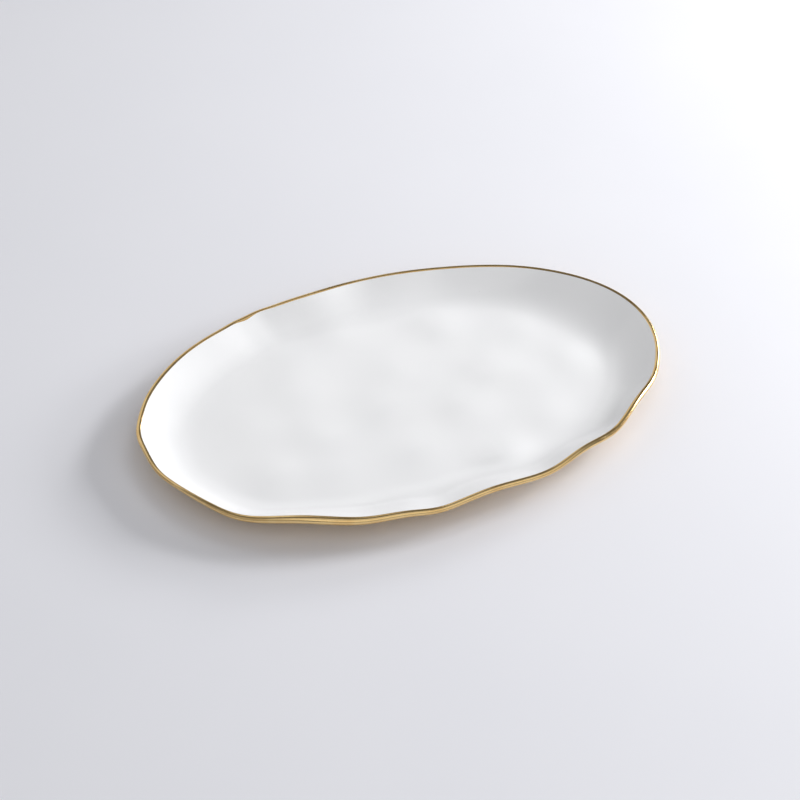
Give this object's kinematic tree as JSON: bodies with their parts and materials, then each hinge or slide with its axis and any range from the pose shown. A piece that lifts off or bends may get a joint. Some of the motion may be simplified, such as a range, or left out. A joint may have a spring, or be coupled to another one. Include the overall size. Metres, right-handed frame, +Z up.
{
  "type": "china serving platter",
  "caption": "Large oval porcelain serving platter with a hand-pressed wavy lip, white glazed well, polished gold lip and outside, on a low oval foot ring.",
  "frame": {"origin": "middle of the platter's plan, on the table that the foot ring stands on", "axes": "+X along the long axis, +Y across it, +Z up out of the well"},
  "size_m": [0.4546, 0.2816, 0.028],
  "materials": {
    "bare_clay": "matte, fired and unglazed",
    "white_glaze": "gloss, clear over white",
    "gold": "polished gold coat fired on the glaze"
  },
  "bodies": {
    "root": {"porcelain_body": "bare_clay", "glaze_lining": "white_glaze", "gold_coat": "gold", "base_coat": "gold", "foot_ring": "bare_clay"}
  },
  "joints": []
}
